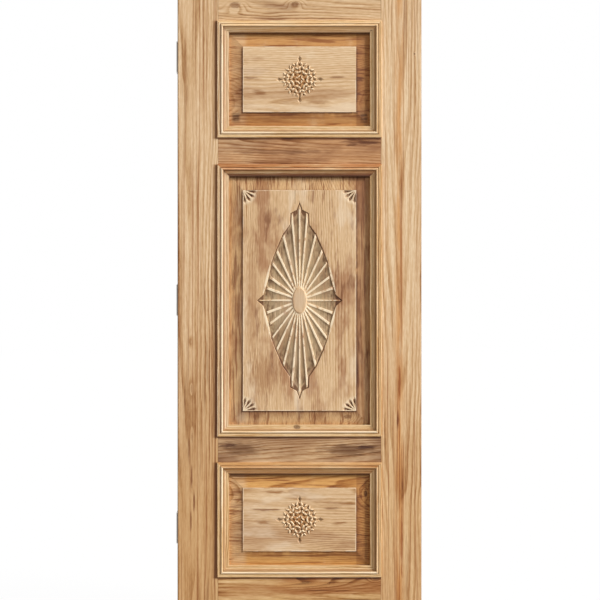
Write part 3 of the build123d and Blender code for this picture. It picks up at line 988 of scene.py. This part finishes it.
    def build(self) -> None:
        """Dresses every board of the frame."""
        hinge_marks = [*self.beside(), *self.hinge_marks]
        top, bottom = self.rail(self.top_marks), self.rail(self.bottom_marks, 0)
        lower, upper = self.rail(self.lower_marks, 1), self.rail(self.upper_marks, 2)
        boards = {
            "hinge_stile": Board(UPRIGHT, -0.36, 0.12, 1.0, 0.08, 0.9, 0.006, hinge_marks),
            "lock_stile": Board(UPRIGHT, 0.33, 0.11, 2.0, 0.0, 1.05, 0.012, list(self.lock_marks)),
            "top_rail": Board(LEVEL, 2.06, 0.10, 3.0, 0.14, 1.2, 0.02, top),
            "upper_mid_rail": Board(LEVEL, 1.60, 0.08, 4.0, 0.12, 1.1, 0.02, upper),
            "lower_mid_rail": Board(LEVEL, 0.50, 0.09, 5.0, 0.12, 1.1, 0.02, lower),
            "bottom_rail": Board(LEVEL, 0.09, 0.09, 6.0, 0.27, 1.3, 0.03, bottom),
            "tenon_wedges": Board(LEVEL, 0.0, 0.3, 7.0, 0.2, 1.0, 0.0),
        }
        for node, board in boards.items():
            finish = self.golden if node == "bottom_rail" else self.finish
            finish.dress(node, board)


@dataclass(frozen=True)
class RaisedField:
    """Raised field of one panel, and the stain and painted shade of the bevels round it."""

    z: float
    half_z: float
    bevel: Colour
    # Share of the stain on its left bevel, painted lighter as the lit side.
    left_lit_share: float
    # Strength of the painted shadow in the crease at the field's foot.
    crease_strength: float
    grain: Grain = LEVEL


@dataclass
class CarvedPanels:
    """The three raised panels, with their marks in the order in which they are laid."""

    finish: PineFinish
    field_y: float = -0.0175
    field_x: float = 0.1855
    back_y: float = 0.0
    upper: RaisedField = RaisedField(1.774, 0.1075, srgb(222, 184, 128), 0.6, 0.8)
    middle: RaisedField = RaisedField(1.0485, 0.362, srgb(243, 233, 215), 0.9, 0.7, UPRIGHT)
    lower: RaisedField = RaisedField(0.3295, 0.104, srgb(244, 214, 152), 0.4, 0.45)
    bevel_strength: float = 0.9
    # Painted shadow in the crease at each field's foot.
    crease_shade: Colour = srgb(120, 74, 38)
    # Painted highlight on the crests of the carving, partly rubbed bare wood.
    rubbed_highlight: Colour = srgb(250, 234, 204)
    bleached: Colour = srgb(240, 222, 196)
    shade: Colour = srgb(190, 158, 128)
    grime: Colour = srgb(150, 110, 72)
    mottle: Colour = srgb(192, 164, 134)
    sunburst_half: Ramp = (0.121, 0.30)
    fan_half: Ramp = (0.045, 0.045)
    rosette_half: Ramp = (0.058, 0.058)
    ground_half: Ramp = (0.062, 0.064)
    boss_half: Ramp = (0.030, 0.052)
    middle_soil: Marks = (
        Wash(srgb(196, 166, 150), 0.8, 13.0, 5.0, 0.46, 0.64, 2.0, through=False),
        Wash(srgb(160, 118, 94), 0.6, 30.0, 7.0, 0.58, 0.7, 4.0, through=False),
        Wash(bleached, 0.45, 14.0, 4.0, 0.54, 0.7, 7.0, blend=Blend.MIX, through=False),
        Cloud(-0.155, 1.06, 0.03, 0.3, shade, 0.5),
        Cloud(-0.12, 0.8, 0.07, 0.1, shade, 0.6),
    )
    curl: Knot = Knot(0.159, 0.6664, 0.015, 0.008, 0.01, srgb(120, 74, 40), 0.8)
    glue_line: Patch = Patch(
        (Span(X, -0.0156, -0.0138), Span(Z, 1.366, 1.411)), srgb(120, 84, 56), 0.7
    )
    smudges: Marks = (
        Wash(srgb(176, 136, 104), 0.4, 16.0, 3.0, 0.5, 0.68, 2.0, LEVEL, through=False),
        Wash(bleached, 0.4, 14.0, 4.0, 0.54, 0.7, 7.0, LEVEL, Blend.MIX, False),
    )
    upper_soil: Marks = (
        Cloud(0.125, 1.781, 0.034, 0.005, grime, 0.75),
        Cloud(-0.165, 1.779, 0.034, 0.005, grime, 0.7),
        Cloud(0.2, 1.775, 0.02, 0.01, grime, 0.7),
        Cloud(-0.13, 1.731, 0.032, 0.013, mottle, 0.8),
        Cloud(0.06, 1.700, 0.05, 0.010, mottle, 0.7),
    )
    lower_soil: Marks = (
        Cloud(-0.08, 0.420, 0.05, 0.007, mottle, 0.9),
        Cloud(-0.11, 0.362, 0.065, 0.005, grime, 0.8),
        Cloud(-0.12, 0.320, 0.035, 0.008, mottle, 0.9),
        Cloud(0.10, 0.366, 0.035, 0.005, grime, 0.7),
        Cloud(0.133, 0.318, 0.03, 0.006, mottle, 0.8),
    )
    eye: Knot = Knot(0.218, 0.4139, 0.006, 0.011, 0.01, srgb(84, 50, 28), 0.9)

    def bevel(self, raised: RaisedField) -> BevelTone:
        """Stain, painted shade and painted highlight of the bevels round one field."""
        tones = (Tint(raised.bevel, self.bevel_strength), Tint(self.crease_shade, raised.crease_strength))
        return BevelTone(raised.z, self.field_x, raised.half_z, *tones, raised.left_lit_share, raised.grain)

    def limits(self) -> tuple[Span, ...]:
        """Edges of the middle field."""
        z, half_z = self.middle.z, self.middle.half_z
        return (Span(X, -self.field_x, self.field_x), Span(Z, z - half_z, z + half_z))

    def sunburst(self) -> list[Mark]:
        """Tones of the sunburst and its boss: painted shade in its hollows, pockets and outline groove, and
        painted highlight on its crests.

        Returns:
            The tones.
        """
        z = self.middle.z
        # Painted shade with dirt in the hollows, painted highlight on the crests, and painted shade in the
        # pockets and the outline groove.
        hollow_shade, crest_highlight = Tint(srgb(158, 136, 103), 0.62, Blend.MIX), Tint(self.rubbed_highlight, 0.8, Blend.MIX)
        pocket_shade, groove = Tint(srgb(136, 92, 50), 1.0), Tint(srgb(112, 78, 48), 0.9)
        burst = CutTone(
            Outline.LENS, 0.0, z, *self.sunburst_half, self.field_y, hollow_shade, crest_highlight, self.limits(),
            hollow_reach=(0.02, 0.07), pocket_shade=pocket_shade, groove=groove,
        )
        return [burst, Cloud(0.0, z, *self.boss_half, srgb(208, 182, 152), 0.7, 0.05, Blend.MIX)]

    def fans(self) -> list[Mark]:
        """Tones of the four corner fans: painted shade in their cuts and painted highlight on their crests.

        Returns:
            The tones of each fan.
        """
        # Painted shade in the cuts, and painted highlight on the crests.
        tones = (Tint(srgb(120, 84, 54), 0.8), Tint(self.rubbed_highlight, 0.55, Blend.MIX))
        z, half_z = self.middle.z, self.middle.half_z
        return [
            CutTone(Outline.OVAL, x, z + rise, *self.fan_half, self.field_y, *tones, self.limits(), soft=0.2)
            for x in (-self.field_x, self.field_x)
            for rise in (-half_z, half_z)
        ]

    def rosette(self, z: float) -> list[Mark]:
        """Tones of one rosette and its ground: painted shade in its cuts, and a darker ground that is partly
        painted shade between the leaves and partly stain.

        Args:
            z: Middle of the rosette up the leaf of the door.

        Returns:
            The tones.
        """
        # Painted shade in the cuts; no painted highlight on the crests.
        tones = (Tint(srgb(128, 98, 62), 0.5, Blend.MIX), Tint(self.rubbed_highlight, 0.0, Blend.MIX))
        cuts = CutTone(
            Outline.OVAL, 0.0, z, *self.rosette_half, self.field_y, *tones,
            soft=0.12, hollow_depth=(0.001, 0.003),
        )
        # Darker ground round the leaves: painted shade and stain.
        return [Cloud(0.0, z, *self.ground_half, srgb(200, 168, 128), 0.9, 0.25), cuts]

    def flecks(self, low: float, high: float) -> Patch:
        """Dark flecks along a bottom bevel."""
        spans = (Span(X, -0.225, 0.225, 0.01), Span(Z, low, high, 0.006))
        return Patch(spans, srgb(150, 98, 54), 0.25, ragged=0.5, grain=LEVEL, fine=190.0)

    def corner(self, left: float) -> Patch:
        """Burnt lower corner of the upper panel."""
        spans = (Span(X, left, left + 0.024, 0.006), Span(Z, 1.634, 1.664, 0.006))
        return Patch(spans, srgb(96, 60, 34), 0.85, ragged=0.8, grain=LEVEL, fine=330.0)

    def build(self) -> None:
        """Dresses every panel."""
        upper = [*self.smudges, *self.upper_soil, self.bevel(self.upper), *self.rosette(self.upper.z)]
        upper += [self.corner(-0.221), self.corner(0.2), self.flecks(1.63, 1.652)]
        middle = [*self.middle_soil, self.bevel(self.middle), self.curl, self.glue_line]
        middle += [*self.sunburst(), *self.fans()]
        lower = [*self.smudges, *self.lower_soil, self.bevel(self.lower), self.flecks(0.205, 0.221)]
        lower += [self.eye, *self.rosette(self.lower.z)]
        back = self.back_y
        boards = {
            "upper_panel": Board(LEVEL, 1.70, 0.12, 11.0, 0.06, 0.6, 0.02, upper, back),
            "middle_panel": Board(UPRIGHT, 0.22, 0.14, 12.0, 0.1, 0.7, 0.01, middle, back),
            "lower_panel": Board(LEVEL, 0.42, 0.12, 13.0, 0.12, 0.9, 0.02, lower, back),
        }
        for node, board in boards.items():
            self.finish.dress(node, board)


@dataclass(frozen=True)
class LeafRing:
    """One ring of leaves in a rosette."""

    count: int
    radius: float
    lean: float
    scale: float = 1.0


@dataclass
class RosetteLace:
    """Curled leaves that stand in the ground of the two rosettes."""

    finish: PineFinish
    places: tuple[tuple[str, float], ...] = (("upper", 1.774), ("lower", 0.3295))
    field_y: float = -0.0175
    length: float = 0.0145
    width: float = 0.0056
    height: float = 0.0056
    segments: int = 12
    bands: int = 7
    taper: float = 1.1
    curl: float = 80.0
    rings: tuple[LeafRing, ...] = (
        LeafRing(7, 0.0115, 50.0, 0.8),
        LeafRing(14, 0.0260, -55.0, 0.95),
        LeafRing(20, 0.0400, 50.0),
        LeafRing(24, 0.0525, -30.0, 0.9),
    )
    wander_rates: Ramp = (5.1, 2.3)
    wander_share: float = 0.12
    wander_radius: float = 0.0012
    pith_below: float = 0.1

    def build(self) -> None:
        """Adds the leaves of both rosettes."""
        leaf = self.leaf()
        for number, (panel, z) in enumerate(self.places):
            self.lace(f"{panel}_rosette_lace", leaf, z, number)
        bpy.data.objects.remove(leaf)

    def leaf(self) -> bpy.types.Object:
        """Models one curled leaf, lying flat with its tip along X.

        Returns:
            The leaf.
        """
        bpy.ops.object.select_all(action="DESELECT")
        bpy.ops.mesh.primitive_uv_sphere_add(
            segments=self.segments, ring_count=self.bands, radius=0.5, location=(0, 0, 0)
        )
        leaf = bpy.context.object
        leaf.name = "rosette_leaf"
        leaf.scale = (self.length, self.width, self.height)
        apply_place()
        taper = leaf.modifiers.new("taper", "SIMPLE_DEFORM")
        taper.deform_method = "TAPER"
        taper.deform_axis = "X"
        taper.factor = -self.taper
        bpy.ops.object.modifier_apply(modifier="taper")
        curl = leaf.modifiers.new("curl", "SIMPLE_DEFORM")
        curl.deform_method = "BEND"
        curl.deform_axis = "Z"
        curl.angle = math.radians(self.curl)
        bpy.ops.object.modifier_apply(modifier="curl")
        bpy.ops.object.shade_smooth()
        return leaf

    def lace(self, name: str, leaf: bpy.types.Object, z: float, turn: int) -> None:
        """Lays copies of the leaf in rings and joins them.

        Args:
            name: Name of the piece.
            leaf: The leaf to copy.
            z: Middle of the rosette up the leaf of the door.
            turn: Number that turns this rosette against the other.
        """
        bpy.ops.object.select_all(action="DESELECT")
        along, between = self.wander_rates
        for row, ring in enumerate(self.rings):
            for number in range(ring.count):
                hand = 1 if number % 2 else -1
                wander = math.sin(along * number + between * row + turn)
                angle = math.tau * (number + row / 2 + self.wander_share * wander) / ring.count
                radius = ring.radius + self.wander_radius * wander
                copy = leaf.copy()
                copy.data = leaf.data.copy()
                bpy.context.scene.collection.objects.link(copy)
                copy.rotation_mode = "ZYX"
                copy.rotation_euler = (math.pi / 2, 0, angle + math.radians(ring.lean) * hand)
                copy.scale = (ring.scale, hand * ring.scale, 1.0)
                copy.location = (radius * math.cos(angle), self.field_y, z + radius * math.sin(angle))
                copy.select_set(True)
                bpy.context.view_layer.objects.active = copy
        bpy.ops.object.join()
        piece = bpy.context.object
        piece.name = name
        apply_place()
        bpy.ops.object.mode_set(mode="EDIT")
        bpy.ops.mesh.select_all(action="SELECT")
        bpy.ops.mesh.normals_make_consistent(inside=False)
        bpy.ops.object.mode_set(mode="OBJECT")
        board = Board(LEVEL, z - self.pith_below, 0.12, 15.0 + turn, -0.16, 0.7)
        piece.data.materials.clear()
        piece.data.materials.append(self.finish.material(f"{name}_pine", board))
        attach(piece, "door_leaf")
        log.info("%s modelled", name)


@dataclass
class Mouldings:
    """The twelve bolection strips."""

    finish: PineFinish
    golden: PineFinish
    panels: tuple[str, ...] = ("upper", "middle", "lower")
    width: float = 0.038
    quirks: tuple[Ramp, ...] = ((0.0098, 0.0117), (0.0193, 0.0212), (0.0212, 0.0262), (0.0300, 0.0310))
    quirk_soft: float = 0.0006
    # Painted shade in the quirks and the cove.
    quirk_shade: Colour = srgb(150, 104, 64)
    shaded: Ramp = (-0.001, 0.021)
    shaded_tint: Colour = srgb(222, 208, 194)
    bead: Ramp = (0.0128, 0.0180)
    # Painted highlight on the bead.
    bead_highlight: Colour = srgb(254, 236, 208)
    cove_from: float = 0.0295
    # Painted shade in the cove of a top strip.
    cove_shade: Colour = srgb(120, 66, 34)
    lip_from: float = 0.0355
    # Painted shadow, with dirt, on the inner lip of a top strip.
    lip_shade_and_dirt: Colour = srgb(90, 48, 20)
    pith_inward: float = 0.1
    # Tone of each top strip, and the strength of the painted shade in its cove.
    tops: dict[str, tuple[Colour, float]] = field(
        default_factory=lambda: {
            "upper": (srgb(255, 236, 208), 0.3),
            "middle": (srgb(208, 144, 88), 0.8),
            "lower": (srgb(234, 202, 164), 0.3),
        }
    )
    flaws: dict[tuple[str, Side], Marks] = field(
        default_factory=lambda: {
            ("middle", Side.BOTTOM): (
                Knot(-0.0082, 0.6336, 0.013, 0.008, 0.006, srgb(96, 58, 30), 0.95),
            ),
            ("upper", Side.TOP): (
                Knot(0.2344, 1.9337, 0.0022, 0.0022, 0.0, srgb(60, 38, 24), 0.95),
                Knot(0.2476, 1.9494, 0.0022, 0.0022, 0.0, srgb(60, 38, 24), 0.95),
            ),
        }
    )

    def board(self, panel: str, side: Side, seed: float) -> Board:
        """How one strip was sawn, with painted shade in its quirks, cove and lip, and a painted highlight on
        its bead.

        Args:
            panel: Panel that the strip frames.
            side: Edge of the opening.
            seed: Seed of the grain.

        Returns:
            The board.
        """
        low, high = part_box(f"{panel}_moulding_{side.value}")
        upright = side in (Side.LEFT, Side.RIGHT)
        grain = UPRIGHT if upright else LEVEL
        axis = X if upright else Z
        far = side in (Side.RIGHT, Side.TOP)
        start = (high if far else low)[axis.value]
        turn = -1 if far else 1
        top = side is Side.TOP
        lit = side in (Side.LEFT, Side.BOTTOM)

        def band(first: float, last: float, soft: float) -> tuple[Span, ...]:
            """Stretch between two distances from the strip's outer edge."""
            ends = sorted((start + turn * first, start + turn * last))
            return (Span(axis, *ends, soft),)

        # Painted shade in the quirks and cove: none in the outer quirk of the lit sides, little in the cove
        # of a top strip.
        strengths = (0.0 if lit else 0.9, 0.7, 0.1 if top else 0.5, 0.5)
        marks: list[Mark] = [
            Patch(band(*quirk, self.quirk_soft), self.quirk_shade, strength)
            for quirk, strength in zip(self.quirks, strengths)
        ]
        if side is Side.RIGHT:
            marks.append(Patch(band(*self.shaded, 0.001), self.shaded_tint, 0.5))
        # Painted highlight on the bead, stronger on the lit sides.
        rubbed_highlight = 0.75 if lit else 0.15
        marks.append(Patch(band(*self.bead, 0.0012), self.bead_highlight, rubbed_highlight, Blend.MIX, 0.4, grain))
        # Top strips: painted shade in the cove, painted shadow with dirt on the lip, and their tone.
        if top:
            tint, depth = self.tops[panel]
            marks += [
                Patch(band(self.cove_from, self.width, 0.0008), self.cove_shade, depth),
                Patch(band(self.lip_from, self.width, 0.0008), self.lip_shade_and_dirt, 0.8),
                Wash(tint, 0.8, 30.0, 4.0, 0.3, 0.6, seed, LEVEL),
            ]
        marks += self.flaws.get((panel, side), ())
        tone = -0.18 if top and panel == "upper" else 0.02
        return Board(grain, start + turn * self.pith_inward, 0.06, seed, tone, 1.1, 0.0, marks)

    def build(self) -> None:
        """Dresses every strip."""
        seed = 20.0
        for panel in self.panels:
            for side in Side:
                finish = self.finish if side is Side.LEFT and panel != "lower" else self.golden
                finish.dress(f"{panel}_moulding_{side.value}", self.board(panel, side, seed))
                seed += 1.0


@dataclass
class Hinges:
    """Three butt hinges and the screws of their door plates."""

    finish: SteelFinish
    places: tuple[str, ...] = ("upper", "middle", "lower")
    head_radius: float = 0.0044
    head_height: float = 0.0016
    head_sides: int = 24
    head_bevel: float = 0.0003
    head_above: float = 0.0001
    slot_width: float = 0.0011
    slot_depth: float = 0.0008
    smooth_angle: float = 35.0
    row_half: float = 0.007
    column_half: float = 0.023
    plate_middle_y: float = 0.008
    face_x: float = -0.4

    def build(self) -> None:
        """Dresses the plates and pins and adds the screws."""
        steel = self.finish.material("hinge_steel_satin")
        for place in self.places:
            for piece in ("frame_plate", "door_plate", "pin"):
                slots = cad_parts[f"{place}_hinge_{piece}"].data.materials
                slots.clear()
                slots.append(steel)
            log.info("%s hinge dressed in steel", place)
        for place in self.places:
            low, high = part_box(f"{place}_hinge_door_plate")
            middle = (low[Z.value] + high[Z.value]) / 2
            for number, (row, column) in enumerate(((-1, -1), (-1, 1), (1, -1), (1, 1)), start=1):
                y = self.plate_middle_y + row * self.row_half
                z = middle + column * self.column_half
                self.screw(f"{place}_hinge_screw_{number}", y, z, steel)

    def screw(self, name: str, y: float, z: float, steel: bpy.types.Material) -> None:
        """Models one countersunk screw head with a slot.

        Args:
            name: Name of the piece.
            y: Place through the leaf.
            z: Place up the leaf.
            steel: Finish of the head.
        """
        bpy.ops.object.select_all(action="DESELECT")
        bpy.ops.mesh.primitive_cylinder_add(
            vertices=self.head_sides,
            radius=self.head_radius,
            depth=self.head_height,
            location=(self.face_x + self.head_height / 2 + self.head_above, y, z),
            rotation=(0, -math.pi / 2, 0),
        )
        head = bpy.context.object
        head.name = name
        apply_place()
        bpy.ops.object.mode_set(mode="EDIT")
        bpy.ops.mesh.select_all(action="SELECT")
        bpy.ops.mesh.bevel(offset=self.head_bevel, segments=2, affect="EDGES")
        bpy.ops.object.mode_set(mode="OBJECT")
        bpy.ops.object.select_all(action="DESELECT")
        bpy.ops.mesh.primitive_cube_add(size=1, location=(self.face_x, y, z))
        groove = bpy.context.object
        groove.scale = (2 * self.slot_depth, 4 * self.head_radius, self.slot_width)
        apply_place()
        bpy.ops.object.select_all(action="DESELECT")
        bpy.context.view_layer.objects.active = head
        head.select_set(True)
        cut = head.modifiers.new("slot", "BOOLEAN")
        cut.operation = "DIFFERENCE"
        cut.object = groove
        bpy.ops.object.modifier_apply(modifier="slot")
        bpy.data.objects.remove(groove)
        bpy.ops.object.shade_smooth_by_angle(angle=math.radians(self.smooth_angle))
        head.data.materials.append(steel)
        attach(head, "door_leaf")
        log.info("%s modelled", name)


@dataclass
class Studio:
    """Floor, light and camera."""

    view_width: float = 1.967
    distance: float = 6.0
    height: float = 1.05
    shift: float = 0.0016
    front_y: float = -0.0225
    sensor_width: float = 36.0
    key_direction: Triple = (-1.8, 1.0, -1.2)
    key_strength: float = 3.9
    key_spread: float = 20.0
    back_direction: Triple = (0.9, -1.2, -0.9)
    back_strength: float = 1.6
    back_spread: float = 25.0
    ambient: float = 0.46
    ambient_tint: Colour = (1.0, 0.93, 0.84)
    white: Colour = (1.0, 1.0, 1.0)
    floor_size: float = 60.0
    floor_tint: Colour = (0.42, 0.42, 0.42)
    floor_glow: float = 1.03
    floor_glow_share: float = 0.94
    seen_rays: tuple[str, ...] = ("Is Camera Ray", "Is Glossy Ray", "Is Transmission Ray")

    def build(self) -> None:
        """Builds the floor, the lights, the world and the camera."""
        self.floor()
        self.sun("key_light", self.key_direction, self.key_strength, self.key_spread)
        self.sun("back_light", self.back_direction, self.back_strength, self.back_spread)
        self.world()
        self.camera()
        bpy.context.scene.view_settings.view_transform = "Standard"

    def seen(self, nodes: Nodes) -> Socket:
        """Share that is 1 for rays that show the surroundings as they are."""
        rays = nodes.add("LightPath", {}).outputs
        return reduce(lambda *two: nodes.math("MAXIMUM", *two), (rays[name] for name in self.seen_rays))

    def close(
        self, nodes: Nodes, share: Socket, plain: bpy.types.Node, shown: bpy.types.Node, output: str
    ) -> None:
        """Ends some nodes with a plain shader, and a share of one that is shown."""
        mix = nodes.add("MixShader", {0: share, 1: plain.outputs[0], 2: shown.outputs[0]})
        nodes.add(output, {0: mix.outputs[0]})

    def floor(self) -> None:
        """Adds the pale floor."""
        bpy.ops.object.select_all(action="DESELECT")
        bpy.ops.mesh.primitive_plane_add(size=self.floor_size, location=(0, 0, 0))
        floor = bpy.context.object
        floor.name = "studio_floor"
        nodes = Nodes(bpy.data.materials.new("pale_floor"))
        plain = nodes.add("BsdfDiffuse", {"Color": self.floor_tint})
        glow = nodes.add("Emission", {"Color": self.white, "Strength": self.floor_glow})
        share = nodes.times(self.seen(nodes), self.floor_glow_share)
        self.close(nodes, share, plain, glow, "OutputMaterial")
        floor.data.materials.append(nodes.block)

    def sun(self, name: str, direction: Triple, strength: float, spread: float) -> None:
        """Adds a soft distant light.

        Args:
            name: Name of the light.
            direction: Direction in which it shines.
            strength: Strength of the light.
            spread: Apparent size in degrees.
        """
        lamp = bpy.data.lights.new(name, "SUN")
        lamp.energy = strength
        lamp.angle = math.radians(spread)
        light = bpy.data.objects.new(name, lamp)
        bpy.context.scene.collection.objects.link(light)
        x, y, z = direction
        light.rotation_euler = (math.atan2(math.hypot(x, y), -z), 0.0, math.atan2(-x, y))

    def world(self) -> None:
        """Sets the white surroundings."""
        nodes = Nodes(bpy.data.worlds.new("white_studio"))
        bpy.context.scene.world = nodes.block
        soft = nodes.add("Background", {"Color": self.ambient_tint, "Strength": self.ambient})
        white = nodes.add("Background", {"Color": self.white})
        self.close(nodes, self.seen(nodes), soft, white, "OutputWorld")

    def camera(self) -> None:
        """Adds the camera, square on to the carved front."""
        lens = bpy.data.cameras.new("front_camera")
        lens.sensor_width = self.sensor_width
        lens.lens = self.sensor_width * self.distance / self.view_width
        camera = bpy.data.objects.new("front_camera", lens)
        bpy.context.scene.collection.objects.link(camera)
        camera.location = (self.shift, self.front_y - self.distance, self.height)
        camera.rotation_euler = (math.pi / 2, 0, 0)
        bpy.context.scene.camera = camera


def main() -> None:
    """Builds the door's looks in order."""
    pine = PineFinish()
    honey = PineFinish(
        stops=(
            (0.0, srgb(240, 214, 174)),
            (0.3, srgb(218, 182, 132)),
            (0.55, srgb(198, 156, 102)),
            (0.8, srgb(164, 114, 60)),
            (1.0, srgb(118, 74, 32)),
        )
    )
    LeafFrame(pine, honey).build()
    CarvedPanels(pine).build()
    RosetteLace(pine).build()
    Mouldings(pine, honey).build()
    Hinges(SteelFinish()).build()
    Studio().build()


if __name__ == "__main__":
    main()
